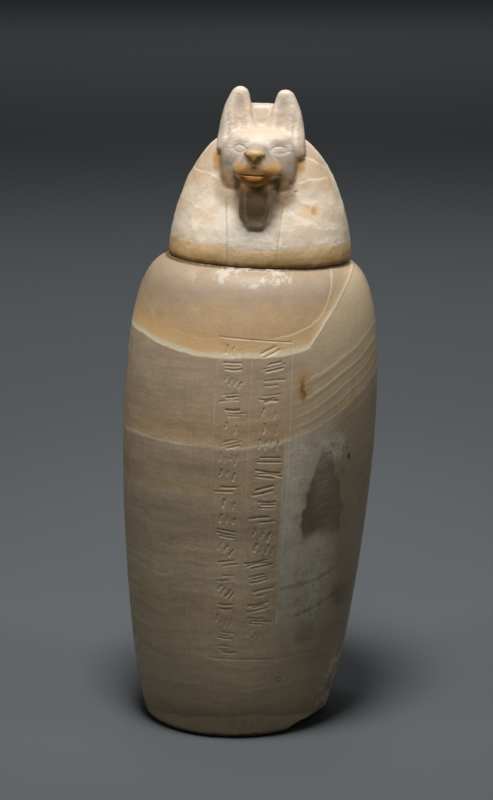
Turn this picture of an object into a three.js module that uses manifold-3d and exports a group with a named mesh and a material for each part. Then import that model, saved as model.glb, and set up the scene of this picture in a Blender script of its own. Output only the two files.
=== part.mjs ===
// A canopic jar of banded travertine: a hollow stone jar, and a lid carved as a jackal's head in a long wig.
// Millimetres, +Z up. The origin is the centre of the flat underside, and the face looks along -Y.
import * as THREE from "three";
import { mergeVertices } from "three/addons/utils/BufferGeometryUtils.js";
import Module from "manifold-3d";

const wasm = await Module();
wasm.setup();

const { degToRad, lerp, smoothstep } = THREE.MathUtils;

// The jar's outside. Its flank and its shoulder are one curve each, which meet where the jar is widest.
const JAR_HEIGHT = 297;
const FOOT_RADIUS = 58.8;
const FOOT_ROUNDING = 3;
const WIDEST_RADIUS = 79.8;
const WIDEST_HEIGHT = 188;
const RIM_RADIUS = 57.4;
const RIM_ROUNDING = 1.6;
const FLANK_PULLS = [new THREE.Vector2(71.1, 38), new THREE.Vector2(WIDEST_RADIUS, 153)];
const SHOULDER_PULLS = [new THREE.Vector2(WIDEST_RADIUS, 246), new THREE.Vector2(76, 290)];

// The jar's inside: a straight mouth, a wider chamber below it, and a thick floor.
const MOUTH_RADIUS = 41.5;
const MOUTH_DEPTH = 23;
const CHAMBER_RADIUS = 62;
const CHAMBER_WIDEST_HEIGHT = 200;
const FLOOR_RADIUS = 40;
const FLOOR_THICKNESS = 32;
const CHAMBER_ROOF_PULLS = [new THREE.Vector2(MOUTH_RADIUS, 258), new THREE.Vector2(CHAMBER_RADIUS, 252)];
const CHAMBER_FLANK_PULLS = [new THREE.Vector2(CHAMBER_RADIUS, 120), new THREE.Vector2(54, FLOOR_THICKNESS + 4)];

// The jar was cut by eye. It leans to +X, its rim slopes down on that side, and its foot is chipped there.
const LEAN = degToRad(2.7);
const RIM_SLOPE = degToRad(2);
const CHIP_DIRECTION = degToRad(-27);
const CHIP_START = 46.5;
const CHIP_SLOPE = degToRad(29);

// The lid. Heights are above the rim, in the lid's own frame.
const LID_GAP = 0.4;
const LID_TURN = degToRad(-5.2);
const LID_LEAN = degToRad(1.3);
const LID_SHIFT = 1.6;
const PLUG_RADIUS = MOUTH_RADIUS - 3.5;
const PLUG_TAPER = 1.5;
const PLUG_DEPTH = 10;
const WIG_RADIUS = 57.3;
const WIG_HEIGHT = 80;
const WIG_RISE = 1.6;
const WIG_ROUNDNESS = 2.5;
const WIG_EDGE_HEIGHT = 7;
const WIG_EDGE_TAPER = 0.006;
const CHEST_HEIGHT = 46;
const CHEST_FLATTENING = 0.25;

// Stations along the head, from the back of the skull, inside the wig, to the tip of the muzzle.
// Each holds how far forward it is, its half width, and the heights of its top and bottom.
const HEAD = [
  [-22, 14, 84, 50],
  [-10, 20, 91.5, 40],
  [4, 23.4, 93.2, 38],
  [16, 23.8, 89.5, 38],
  [25, 23.8, 84, 38],
  [31, 22.4, 79.5, 39.5],
  [37, 19.6, 75.8, 42.5],
  [43, 16.6, 73.2, 46],
  [50, 14.2, 71.6, 48.2],
  [56, 12, 70.4, 50],
  [60, 8, 68, 53],
];
const HEAD_SQUARENESS = 2.9;
const MUZZLE = { start: 30, end: 50, narrowing: 0.3 };
const NOSE = { forward: 58.5, height: 66.4, width: 6.6, depth: 3.6, tall: 4.4 };

// An ear: a tall blade with a hollow down its front, from the lobe beside the cheek to the tip above the crown.
const EAR_BOTTOM = 64.5;
const EAR_TOP = 104.8;
const EAR_UNEVENNESS = 0.9;
const EAR_HALF_WIDTH = 11.7;
const EAR_HALF_DEPTH = { bottom: 7.5, top: 4.5 };
const EAR_OUT = { bottom: 15.4, top: 13.7 };
const EAR_FORWARD = { bottom: 20, top: 9 };
const EAR_HOLLOW = { place: -0.3, width: 0.33, depth: 0.9 };
const EAR_BACK_ROUNDNESS = 0.7;
const EAR_OUTLINE = { rise: 2, round: 2.2 };
const LOBE = { share: 0.16, narrowing: 0.2 };

// The throat: a short round-ended pillar between the chin and the chest.
const THROAT_BOTTOM = 23.5;
const THROAT_TOP = 56;
const THROAT_HALF_WIDTH = 10.5;
const THROAT_RELIEF = 5;
const THROAT_TAPER = 0.25;
const THROAT_ROUNDNESS = 0.7;
const THROAT_END_WIDTH = 0.3;

const ALABASTER = new THREE.MeshStandardMaterial({ color: "#b59a7c", roughness: 0.5, metalness: 0 });
const PALE_ALABASTER = new THREE.MeshStandardMaterial({ color: "#e2cfb4", roughness: 0.5, metalness: 0 });

const JAR_SIDES = 60;
const OUTER_STEPS = 9;
const INNER_STEPS = 3;

// How wide a dome with soft corners is, from 1 at its base to 0 at its top.
function dome(share, rise, round) {
  return (1 - Math.min(1, share) ** rise) ** (1 / round);
}

// A value to a power, with its sign kept.
function shaped(value, power) {
  return Math.sign(value) * Math.abs(value) ** power;
}

function moveVertices(geometry, move) {
  const positions = geometry.getAttribute("position");
  for (let i = 0; i < positions.count; i++) {
    positions.setXYZ(i, ...move(positions.getX(i), positions.getY(i), positions.getZ(i)));
  }
  return geometry;
}

// A closed body of rings along +Z. place(share, angle, reach) gives the point at that share of the length;
// reach is 1 on the skin, and 0 at the middle of either end.
function loft(rings, sides, place) {
  const geometry = new THREE.CylinderGeometry(1, 1, 1, sides, rings);
  return moveVertices(geometry, (x, y, z) => place(y + 0.5, Math.atan2(-z, x), Math.round(Math.hypot(x, z))));
}

function solid(geometry) {
  const skin = new THREE.BufferGeometry().setAttribute("position", geometry.getAttribute("position"));
  const merged = mergeVertices(geometry.index ? skin.setIndex(geometry.index) : skin, 1e-3);
  const mesh = new wasm.Mesh({
    numProp: 3,
    vertProperties: merged.getAttribute("position").array,
    triVerts: new Uint32Array(merged.index.array),
  });
  return new wasm.Manifold(mesh);
}

function meshOf(name, body, material) {
  const { vertProperties, triVerts } = body.getMesh();
  const geometry = new THREE.BufferGeometry();
  geometry.setAttribute("position", new THREE.BufferAttribute(vertProperties, 3));
  geometry.setIndex(new THREE.BufferAttribute(triVerts, 1));
  geometry.computeVertexNormals();
  const mesh = new THREE.Mesh(geometry, material);
  mesh.name = name;
  return mesh;
}

function bezier(start, pulls, end, steps) {
  return new THREE.CubicBezierCurve(start, ...pulls, end).getPoints(steps);
}

// The jar's half section, as radius and height, from the middle of the underside round to the chamber floor.
function jarProfile() {
  const foot = new THREE.Vector2(FOOT_RADIUS, FOOT_ROUNDING);
  const widest = new THREE.Vector2(WIDEST_RADIUS, WIDEST_HEIGHT);
  const rim = new THREE.Vector2(RIM_RADIUS, JAR_HEIGHT - RIM_ROUNDING);
  const mouthBottom = new THREE.Vector2(MOUTH_RADIUS, JAR_HEIGHT - MOUTH_DEPTH);
  const chamber = new THREE.Vector2(CHAMBER_RADIUS, CHAMBER_WIDEST_HEIGHT);
  const floorEdge = new THREE.Vector2(FLOOR_RADIUS, FLOOR_THICKNESS);
  return [
    new THREE.Vector2(0, 0),
    new THREE.Vector2(CHIP_START, 0),
    new THREE.Vector2(lerp(CHIP_START, FOOT_RADIUS, 0.5), 0),
    new THREE.Vector2(FOOT_RADIUS - FOOT_ROUNDING, 0),
    ...bezier(foot, FLANK_PULLS, widest, OUTER_STEPS),
    ...bezier(widest, SHOULDER_PULLS, rim, OUTER_STEPS).slice(1),
    new THREE.Vector2(RIM_RADIUS - RIM_ROUNDING, JAR_HEIGHT),
    new THREE.Vector2(MOUTH_RADIUS + RIM_ROUNDING, JAR_HEIGHT),
    new THREE.Vector2(MOUTH_RADIUS, JAR_HEIGHT - RIM_ROUNDING),
    ...bezier(mouthBottom, CHAMBER_ROOF_PULLS, chamber, INNER_STEPS),
    ...bezier(chamber, CHAMBER_FLANK_PULLS, floorEdge, INNER_STEPS).slice(1),
    new THREE.Vector2(0, FLOOR_THICKNESS),
  ];
}

// Lifts what lies under the chip's sloping plane up to it.
function chipFoot(x, y, z) {
  const outward = x * Math.cos(CHIP_DIRECTION) + y * Math.sin(CHIP_DIRECTION);
  return [x, y, Math.max(z, (outward - CHIP_START) * Math.tan(CHIP_SLOPE))];
}

function leanJar(x, y, z) {
  const slope = Math.tan(RIM_SLOPE) * (z / JAR_HEIGHT);
  return [x + z * Math.tan(LEAN), y, z - x * slope];
}

function makeJar() {
  const turned = new THREE.LatheGeometry(jarProfile(), JAR_SIDES).rotateX(Math.PI / 2);
  moveVertices(turned, chipFoot);
  moveVertices(turned, leanJar);
  return meshOf("jar", solid(turned), ALABASTER);
}

// The wig is round at the rim, and its front falls back towards the chin so that the throat has room.
function wigPoint(height, angle, reach) {
  const rounded = 1 - WIG_EDGE_TAPER * (1 - smoothstep(height, 0, WIG_EDGE_HEIGHT));
  const radius = WIG_RADIUS * dome(height / WIG_HEIGHT, WIG_RISE, WIG_ROUNDNESS) * rounded * reach;
  const frontness = smoothstep(-Math.sin(angle), 0, 1);
  const flattening = CHEST_FLATTENING * smoothstep(height, 0, CHEST_HEIGHT) * frontness;
  return [radius * Math.cos(angle), radius * Math.sin(angle) * (1 - flattening), height];
}

function makeWig() {
  const heightAt = (share) => WIG_HEIGHT * Math.sin((share * Math.PI) / 2);
  return loft(16, 56, (share, angle, reach) => wigPoint(heightAt(share), angle, reach));
}

// The plug reaches up into the wig, so that the two join.
function makePlug() {
  const overlap = 5;
  const length = PLUG_DEPTH + overlap;
  const plug = new THREE.CylinderGeometry(PLUG_RADIUS, PLUG_RADIUS - PLUG_TAPER, length, JAR_SIDES);
  return plug.rotateX(Math.PI / 2).translate(0, 0, overlap - length / 2);
}

// The head runs forward out of the wig. Its muzzle is narrower over the nose than along the mouth.
function makeHead() {
  const stations = new THREE.CubicInterpolant(
    HEAD.map(([forward]) => forward),
    HEAD.flatMap(([, ...sizes]) => sizes),
    3,
  );
  const [back, tip] = [HEAD[0][0], HEAD.at(-1)[0]];
  const head = loft(24, 32, (share, angle, reach) => {
    const forward = lerp(back, tip, share);
    const [halfWidth, top, bottom] = stations.evaluate(forward);
    const across = reach * shaped(Math.cos(angle), 2 / HEAD_SQUARENESS);
    const up = reach * shaped(Math.sin(angle), 2 / HEAD_SQUARENESS);
    const narrowing = MUZZLE.narrowing * smoothstep(forward, MUZZLE.start, MUZZLE.end) * (up + 0.5);
    return [halfWidth * (1 - narrowing) * across, lerp(bottom, top, (1 + up) / 2), forward];
  });
  return head.rotateX(Math.PI / 2);
}

function makeNose() {
  const { forward, height, width, depth, tall } = NOSE;
  return new THREE.SphereGeometry(1, 16, 10).scale(width, depth, tall).translate(0, -forward, height);
}

// One ear. The other side's is its mirror image, walked round the other way so that it still faces out.
function makeEar(side) {
  const top = side > 0 ? EAR_TOP - EAR_UNEVENNESS : EAR_TOP;
  return loft(12, 28, (share, angle, reach) => {
    const turned = side > 0 ? angle : Math.PI - angle;
    const [across, back] = [reach * Math.cos(turned), reach * shaped(Math.sin(turned), EAR_BACK_ROUNDNESS)];
    const along = Math.sin((share * Math.PI) / 2);
    const lobe = 1 - LOBE.narrowing * (1 - smoothstep(along, 0, LOBE.share));
    const width = dome(along, EAR_OUTLINE.rise, EAR_OUTLINE.round) * lobe;
    const depth = lerp(EAR_HALF_DEPTH.bottom, EAR_HALF_DEPTH.top, along) * Math.sqrt(width);
    const hollow = EAR_HOLLOW.depth * Math.exp(-(((across - EAR_HOLLOW.place) / EAR_HOLLOW.width) ** 2));
    const fill = back < 0 ? back * (1 - hollow) : back;
    const x = lerp(EAR_OUT.bottom, EAR_OUT.top, along) + EAR_HALF_WIDTH * width * across;
    return [side * x, depth * fill - lerp(EAR_FORWARD.bottom, EAR_FORWARD.top, along), lerp(EAR_BOTTOM, top, along)];
  });
}

// The throat: a pillar that stands proud of the chest, wider where it meets it, with a round lower end.
function makeThroat() {
  return loft(8, 16, (share, angle, reach) => {
    const height = lerp(THROAT_BOTTOM, THROAT_TOP, 1 - Math.cos((share * Math.PI) / 2));
    const chest = wigPoint(height, -Math.PI / 2, 1)[1];
    const end = Math.sqrt(1 - (1 - Math.min(1, (height - THROAT_BOTTOM) / THROAT_HALF_WIDTH)) ** 2);
    const forward = reach * shaped(-Math.sin(angle), THROAT_ROUNDNESS);
    const halfWidth = THROAT_HALF_WIDTH * lerp(THROAT_END_WIDTH, 1, end) * (1 - THROAT_TAPER * forward);
    const relief = THROAT_RELIEF * (forward > 0 ? end : 1);
    return [halfWidth * reach * shaped(Math.cos(angle), THROAT_ROUNDNESS), chest - relief * forward, height];
  });
}

// The lid sits on the sloping rim, turned a little, and its carving leans less than the jar does.
function makeLid() {
  const pieces = [makeWig(), makePlug(), makeHead(), makeNose(), makeEar(1), makeEar(-1), makeThroat()];
  const carving = pieces.map(solid).reduce((whole, piece) => whole.add(piece));
  const lid = meshOf("lid", carving, PALE_ALABASTER);
  const righting = Math.tan(LID_LEAN - RIM_SLOPE);
  moveVertices(lid.geometry, (x, y, z) => [x + Math.max(0, z) * righting, y, z]);
  const [x, dip] = [JAR_HEIGHT * Math.tan(LEAN) + LID_SHIFT, LID_SHIFT * Math.tan(RIM_SLOPE)];
  lid.position.set(x, 0, JAR_HEIGHT + LID_GAP - dip);
  lid.rotation.set(0, RIM_SLOPE, LID_TURN);
  return lid;
}

const canopicJar = new THREE.Group();
canopicJar.add(makeJar(), makeLid());
export default canopicJar;
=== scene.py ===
"""The looks of a canopic jar: a hollow jar of banded travertine, and its lid, a jackal's head in a long wig.

The jar is turned from its half section and then cut by hand: its foot is chipped, its front is inscribed, and
it leans. The lid is fused from a wig, a head, a nose, a throat and two ears, and then carved.
"""

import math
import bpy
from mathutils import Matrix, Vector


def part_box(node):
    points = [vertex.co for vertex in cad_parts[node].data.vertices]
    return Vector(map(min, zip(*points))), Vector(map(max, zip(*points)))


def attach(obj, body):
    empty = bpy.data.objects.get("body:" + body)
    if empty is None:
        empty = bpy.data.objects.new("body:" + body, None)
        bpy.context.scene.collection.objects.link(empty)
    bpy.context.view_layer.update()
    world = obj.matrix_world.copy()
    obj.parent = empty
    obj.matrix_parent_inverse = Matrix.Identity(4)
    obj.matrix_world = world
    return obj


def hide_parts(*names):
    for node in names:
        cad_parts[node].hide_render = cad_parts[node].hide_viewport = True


bl_info = {
    "name": "Canopic Jar",
    "version": (1, 0, 0),
    "blender": (4, 5, 0),
    "location": "3D Viewport > Sidebar > Canopic Jar",
    "description": "Models a travertine canopic jar, its jackal-head lid and the stage they stand on",
    "category": "Object",
}

import bpy
import numpy as np
from bpy.props import FloatProperty, FloatVectorProperty, IntProperty, PointerProperty
from mathutils import Matrix, Vector

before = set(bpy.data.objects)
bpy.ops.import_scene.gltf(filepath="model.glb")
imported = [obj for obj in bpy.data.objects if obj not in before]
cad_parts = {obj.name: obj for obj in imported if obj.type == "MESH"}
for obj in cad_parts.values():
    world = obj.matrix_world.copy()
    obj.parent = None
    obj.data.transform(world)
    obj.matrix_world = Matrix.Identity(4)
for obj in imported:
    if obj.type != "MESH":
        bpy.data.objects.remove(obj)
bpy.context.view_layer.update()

MM = 0.001
TURN = 2 * math.pi
JAR_LOW, JAR_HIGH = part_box("jar")


# ---------------------------------------------------------------------------------------------- settings


def length(name, description, default):
    return FloatProperty(
        name=name, description=description, default=default, unit="LENGTH", subtype="DISTANCE"
    )


def slope(name, description, degrees):
    return FloatProperty(name=name, description=description, default=math.radians(degrees), subtype="ANGLE")


def power(name, description, default):
    return FloatProperty(name=name, description=description, default=default, min=0, unit="POWER")


def colour(name, description, default):
    return FloatVectorProperty(
        name=name, description=description, default=default, subtype="COLOR", size=3, min=0, max=1
    )


class JarSettings(bpy.types.PropertyGroup):
    height: length("Height", "From the underside to the rim", 0.297)
    foot_radius: length("Foot radius", "Outer radius at the foot", 0.0588)
    widest_radius: length("Widest radius", "Outer radius at the shoulders", JAR_HIGH.y)
    widest_height: length("Widest height", "Where the flank meets the shoulder", 0.188)
    rim_radius: length("Rim radius", "Outer radius at the rim", 0.0574)
    mouth_radius: length("Mouth radius", "Inner radius at the rim", 0.0415)
    chamber_radius: length("Chamber radius", "Inner radius where the chamber is widest", 0.062)
    floor_thickness: length("Floor thickness", "Stone under the chamber", 0.032)
    lean: slope("Lean", "How far the jar leans to +X", 2.7)
    rim_slope: slope("Rim slope", "How far the rim slopes down to +X", 2.0)
    chip_direction: slope("Chip direction", "Where the foot is chipped, from +X", -27.0)
    stroke_width: length("Stroke width", "How wide a carved stroke is", 0.0011)
    stroke_depth: length("Stroke depth", "How deep a carved stroke is", 0.0003)
    rows: IntProperty(name="Rows", description="Rows of strokes in each column", default=21, min=1)


class LidSettings(bpy.types.PropertyGroup):
    radius: length("Radius", "Radius of the wig at the rim", 0.0572)
    height: length("Height", "Height of the wig's crown above the rim", 0.080)
    plug_depth: length("Plug depth", "How far the plug drops into the mouth", 0.010)
    turn: slope("Turn", "How far the face is turned from the jar's front", -5.2)
    lean: slope("Lean", "How far the carving leans to +X", 1.3)


class StageSettings(bpy.types.PropertyGroup):
    floor_colour: colour("Floor colour", "The plain floor", (0.122, 0.132, 0.138))
    room_colour: colour("Room colour", "The faint even light of the room", (0.046, 0.052, 0.057))
    key_power: power("Key power", "The soft spot overhead", 47.0)
    side_power: power("Side power", "Each of the two soft spots at the sides", 15.0)
    backdrop_power: power("Backdrop power", "The wide light over the floor behind", 150.0)
    far_power: power("Far power", "The wide light at the far end of the floor", 42.0)


# ------------------------------------------------------------------------------------------- small tools


def lerp(low, high, share):
    return low + (high - low) * share


def smoothstep(value, low, high):
    share = np.clip((value - low) / (high - low), 0, 1)
    return share * share * (3 - 2 * share)


def bump(distance, width):
    """1 where the distance is 0, falling smoothly to 0 at the width."""
    return 1 - smoothstep(np.abs(distance), 0, width)


def shaped(value, power):
    """A value to a power, with its sign kept."""
    return np.sign(value) * np.abs(value) ** power


def deselect_all():
    for thing in bpy.context.selected_objects:
        thing.select_set(False)


def make_active(piece):
    deselect_all()
    piece.select_set(True)
    bpy.context.view_layer.objects.active = piece


def name_new(name):
    piece = bpy.context.object
    piece.name = piece.data.name = name
    return piece


def finish_modifier(piece, kind, **settings):
    """Adds a modifier and applies it."""
    make_active(piece)
    modifier = piece.modifiers.new(kind.title(), kind)
    for setting, value in settings.items():
        setattr(modifier, setting, value)
    bpy.ops.object.modifier_apply(modifier=modifier.name)


def points_of(piece):
    points = np.empty(len(piece.data.vertices) * 3)
    piece.data.vertices.foreach_get("co", points)
    return points.reshape(-1, 3)


def move_points(piece, points):
    piece.data.vertices.foreach_set("co", points.ravel())
    piece.data.update()


def mark_points(piece, name, values):
    """Stores a value for each point, for the stone to read."""
    piece.data.attributes.new(name, "FLOAT", "POINT").data.foreach_set("value", values)


def normals_of(piece):
    normals = np.empty(len(piece.data.vertices) * 3)
    piece.data.vertices.foreach_get("normal", normals)
    return normals.reshape(-1, 3)


def face_centres(piece):
    centres = np.empty(len(piece.data.polygons) * 3)
    piece.data.polygons.foreach_get("center", centres)
    return centres.reshape(-1, 3)


def refine_faces(piece, chosen, cuts=1):
    """Subdivides the chosen faces, given as one true or false for each face."""
    make_active(piece)
    bpy.ops.object.mode_set(mode="EDIT")
    bpy.ops.mesh.select_mode(type="FACE")
    bpy.ops.mesh.select_all(action="DESELECT")
    bpy.ops.object.mode_set(mode="OBJECT")
    piece.data.polygons.foreach_set("select", chosen)
    bpy.ops.object.mode_set(mode="EDIT")
    bpy.ops.mesh.subdivide(number_cuts=cuts)
    bpy.ops.object.mode_set(mode="OBJECT")


def clean_shell(piece):
    """Merges doubled points and turns every face outwards."""
    make_active(piece)
    bpy.ops.object.mode_set(mode="EDIT")
    bpy.ops.mesh.select_all(action="SELECT")
    bpy.ops.mesh.remove_doubles(threshold=0.02 * MM)
    bpy.ops.mesh.normals_make_consistent(inside=False)
    bpy.ops.object.mode_set(mode="OBJECT")


def dent(piece, name, size, strength):
    """Makes a surface a little uneven, as a hand-cut one is."""
    texture = bpy.data.textures.new(name, "CLOUDS")
    texture.noise_scale = size
    settings = {"texture": texture, "strength": strength, "mid_level": 0.5, "texture_coords": "LOCAL"}
    finish_modifier(piece, "DISPLACE", **settings)
    bpy.data.textures.remove(texture)


def distance_to_path(points, path):
    """How far each 2D point is from a path of straight lines."""
    nearest = np.full(len(points), np.inf)
    for start, end in zip(path[:-1], path[1:]):
        start, along = np.array(start), np.subtract(end, start)
        share = np.clip((points - start) @ along / (along @ along), 0, 1)
        nearest = np.minimum(nearest, np.linalg.norm(points - start - share[:, None] * along, axis=1))
    return nearest


def bezier(start, pull, second_pull, end, steps):
    """Points along a curve that leaves its start towards one pull and reaches its end from the other."""
    share = np.linspace(0, 1, steps + 1)[:, None]
    rest = 1 - share
    corners = [np.array(corner) for corner in (start, pull, second_pull, end)]
    weights = (rest**3, 3 * rest**2 * share, 3 * rest * share**2, share**3)
    return sum(weight * corner for weight, corner in zip(weights, corners))


# ------------------------------------------------------------------------------------------------ the jar


def jar_profile(sizes):
    """The half section, as radius and height, from the middle of the underside to that of the inside."""
    rounding, corner, top, floor = 1.6 * MM, 4 * MM, sizes.height, sizes.floor_thickness
    foot = (sizes.foot_radius, corner * 1.1)
    foot_pulls = (foot[0] - corner / 2, 0), (foot[0] - corner / 10, 1.8 * MM)
    widest = (sizes.widest_radius, sizes.widest_height)
    flank_pulls = (0.0711, 0.038), (widest[0], 0.153)
    rim = (sizes.rim_radius, top - rounding)
    shoulder_pulls = (widest[0], 0.246), (0.076, 0.290)
    rim_pulls = (rim[0], rim[1] + 1 * MM), (rim[0] - 1 * MM, top)
    mouth = (sizes.mouth_radius, top - 23 * MM)
    chamber = (sizes.chamber_radius, 0.2)
    roof_pulls = (mouth[0], 0.258), (chamber[0], 0.252)
    wall_pulls = (chamber[0], 0.120), (0.054, 0.036)
    return np.vstack([
        [(radius, 0) for radius in (0, 0.02, 0.036, 0.045)],
        [(radius, 0) for radius in np.arange(0.048, foot[0] - corner, 1.5 * MM)],
        bezier((foot[0] - corner, 0), *foot_pulls, foot, 5),
        bezier(foot, *flank_pulls, widest, 62)[1:],
        bezier(widest, *shoulder_pulls, rim, 44)[1:],
        bezier(rim, *rim_pulls, (rim[0] - 2 * MM, top), 3)[1:],
        [(radius, top) for radius in (0.052, 0.048, mouth[0] + rounding)],
        [(mouth[0], rim[1]), (mouth[0], lerp(rim[1], mouth[1], 0.5))],
        bezier(mouth, *roof_pulls, chamber, 10),
        bezier(chamber, *wall_pulls, (0.04, floor), 12)[1:],
        [(0.02, floor), (0, floor)],
    ])


def turn_profile(name, profile, steps):
    """Spins a half section round the Z axis into a closed shell."""
    points = [(radius, 0, height) for radius, height in profile]
    edges = [(index, index + 1) for index in range(len(points) - 1)]
    mesh = bpy.data.meshes.new(name)
    mesh.from_pydata(points, edges, [])
    piece = bpy.data.objects.new(name, mesh)
    bpy.context.collection.objects.link(piece)
    make_active(piece)
    bpy.ops.object.mode_set(mode="EDIT")
    bpy.ops.mesh.select_all(action="SELECT")
    bpy.ops.mesh.spin(steps=steps, angle=TURN, center=(0, 0, 0), axis=(0, 0, 1))
    bpy.ops.object.mode_set(mode="OBJECT")
    clean_shell(piece)
    return piece


def arc(centre, reach, start, end, steps=6):
    """Points on part of an ellipse, at angles in degrees."""
    angles = np.radians(np.linspace(start, end, steps + 1))
    return list(zip(centre[0] + reach[0] * np.cos(angles), centre[1] + reach[1] * np.sin(angles)))


class Panel:
    """The inscription's frame on the unrolled wall: two columns between three upright rules."""

    def __init__(self, sizes):
        self.radius, self.chamber_radius = sizes.widest_radius, sizes.chamber_radius
        self.rules = [math.radians(angle) * self.radius for angle in (-16, -0.8, 17)]
        self.low, self.high = 0.0555, 0.257

    def unroll(self, points):
        """Places on the wall as if it lay flat: how far round from the front, and how high. Also which of
        them are on the outside, near the frame."""
        x, y, height = points.T
        round_front = np.arctan2(x, -y) * self.radius
        margin = 3 * MM
        outside = np.hypot(x, y) > self.chamber_radius + margin
        near = outside & (np.abs(round_front) < self.rules[2] + margin)
        return np.column_stack([round_front, height]), near

    def frame_lines(self):
        uprights = [[(rule, self.low), (rule, self.high)] for rule in self.rules]
        top = [(self.rules[0], self.high + 1 * MM), (0, self.high), (self.rules[2], self.high - 1.2 * MM)]
        bottom = [(self.rules[0], self.low + 0.6 * MM), (self.rules[2], self.low - 0.6 * MM)]
        return uprights, [top, bottom]

    def strokes(self, rows):
        """Rows of strokes in both columns. None is a letter or a sign of any script."""
        chance = np.random.default_rng(11)
        pitch = (self.high - self.low) / (rows + 0.4)
        for left, right in zip(self.rules[:-1], self.rules[1:]):
            for row in range(rows):
                yield from self.row_of_strokes(chance, left, right, self.high - pitch * (row + 0.7), pitch)

    def row_of_strokes(self, chance, left, right, height, pitch):
        """A few strokes side by side, all level or all steep, each as its path and its weight."""
        steep = chance.random() < 0.4
        slant = math.radians(chance.normal(72 if steep else 3, 8))
        along = np.array([math.cos(slant), math.sin(slant)])
        beside = np.array([-along[1], along[0]])
        count = chance.integers(2, 5 if steep else 4)
        room = 0.6 * (right - left if steep else pitch)
        reach = pitch * 0.28 if steep else (right - left) * 0.29
        middle = np.array([lerp(left, right, chance.uniform(0.45, 0.55)), height])
        for index in range(count):
            half = reach * chance.uniform(0.5, 1) * along
            centre = middle + beside * room * ((index + 0.5) / count - 0.5)
            centre = centre + along * reach * chance.normal(0, 0.2)
            bow = beside * chance.normal(0, 0.4) * MM
            yield [centre - half, centre + bow, centre + half], chance.uniform(0.6, 1.15)


def cut_strokes(jar, sizes):
    """Carves the inscription: fine rules, and strokes with sloping sides."""
    panel = Panel(sizes)
    # each cut's path, width and depth
    uprights, crossings = panel.frame_lines()
    cuts = [(path, 0.65 * MM, 0.2 * MM) for path in uprights]
    cuts += [(path, 0.7 * MM, 0.22 * MM) for path in crossings]
    for path, weight in panel.strokes(sizes.rows):
        cuts.append((path, sizes.stroke_width * weight, sizes.stroke_depth * weight))
    for reach in (5 * MM, 3.4 * MM, 2.2 * MM):
        flat, near = panel.unroll(face_centres(jar))
        near &= np.abs(flat[:, 1] - 0.156) < 0.106
        distance = np.full(len(flat), np.inf)
        for path, _, _ in cuts:
            distance[near] = np.minimum(distance[near], distance_to_path(flat[near], path))
        refine_faces(jar, distance < reach)
    points = points_of(jar)
    flat, near = panel.unroll(points)
    near = np.flatnonzero(near)
    depth = np.zeros(len(near))
    for path, width, deep in cuts:
        low, high = np.min(path, axis=0) - 2 * width, np.max(path, axis=0) + 2 * width
        close = np.all((flat[near] > low) & (flat[near] < high), axis=1)
        cut = deep * bump(distance_to_path(flat[near][close], path), width)
        depth[close] = np.maximum(depth[close], cut)
    points[near, :2] *= (1 - depth / np.linalg.norm(points[near, :2], axis=1))[:, None]
    move_points(jar, points)
    carved = np.zeros(len(points))
    carved[near] = np.minimum(1, depth / sizes.stroke_depth)
    mark_points(jar, "carved", carved)


def chip_foot(jar, sizes):
    """Breaks the foot away on one side, along an uneven, scalloped face."""
    chip_top = 0.03
    x, y, z = face_centres(jar).T
    near = (z < chip_top) & (np.abs(np.arctan2(y, x) - sizes.chip_direction) < 1.1) & (np.hypot(x, y) > 0.03)
    refine_faces(jar, near, cuts=2)
    points = points_of(jar)
    x, y, z = points.T
    away = x * math.cos(sizes.chip_direction) + y * math.sin(sizes.chip_direction)
    scallops = np.abs(np.sin(x * 160 + 1)) + 0.8 * np.abs(np.sin(y * 150 - z * 60))
    scallops += 0.3 * np.sin(x * 610) * np.sin(y * 640)
    break_height = (away - 0.0483 + scallops * MM) * math.tan(math.radians(33))
    break_height += 0.7 * MM * smoothstep(away, 0.049, 0.051) - 0.6 * MM * smoothstep(away, 0.056, 0.058)
    inside = np.hypot(x, y) < 0.045
    height = np.where(inside | (z > chip_top), z, np.maximum(z, break_height))
    mark_points(jar, "broken", smoothstep(height - z, 0, 0.4 * MM))
    points[:, 2] = height
    move_points(jar, points)


def lean_jar(jar, sizes):
    """Slopes the rim down to +X, more and more with height, and leans the jar the same way."""
    points = points_of(jar)
    points[:, 2] -= points[:, 0] * math.tan(sizes.rim_slope) * points[:, 2] / sizes.height
    points[:, 0] += points[:, 2] * math.tan(sizes.lean)
    move_points(jar, points)


class CANOPIC_OT_jar(bpy.types.Operator):
    """Turn, inscribe, chip and lean the jar"""

    bl_idname = "canopic.jar"
    bl_label = "Jar"

    def execute(self, context):
        sizes = context.scene.canopic_jar
        jar = turn_profile("travertine_jar", jar_profile(sizes), steps=160)
        cut_strokes(jar, sizes)
        chip_foot(jar, sizes)
        lean_jar(jar, sizes)
        settle(jar, "jar", jar_stone())
        return {"FINISHED"}


# ------------------------------------------------------------------------------------------------ the lid


def flow(places, stations):
    """Values that pass smoothly through stations, each of which is its place followed by its values."""
    stations = np.array(stations, float)
    at, values = stations[:, 0], stations[:, 1:]
    slopes = np.gradient(values, at, axis=0)
    index = np.clip(np.searchsorted(at, places) - 1, 0, len(at) - 2)
    span = at[index + 1] - at[index]
    share = np.clip((places - at[index]) / span, 0, 1)[:, None]
    rest = 1 - share
    ends = values[index] * rest**2 * (1 + 2 * share) + values[index + 1] * share**2 * (1 + 2 * rest)
    bends = (slopes[index] * rest - slopes[index + 1] * share) * rest * share * span[:, None]
    return (ends + bends).T


def flow_along(share, stations):
    """The place that lies a share of the way along the stations, and the values there."""
    place = lerp(stations[0][0], stations[-1][0], share)
    return place, flow(place, stations)


def dome(share, rise, roundness):
    """How wide a dome with soft corners is, from 1 at its base to 0 at its top."""
    return (1 - np.clip(share, 0, 1) ** rise) ** (1 / roundness)


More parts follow.
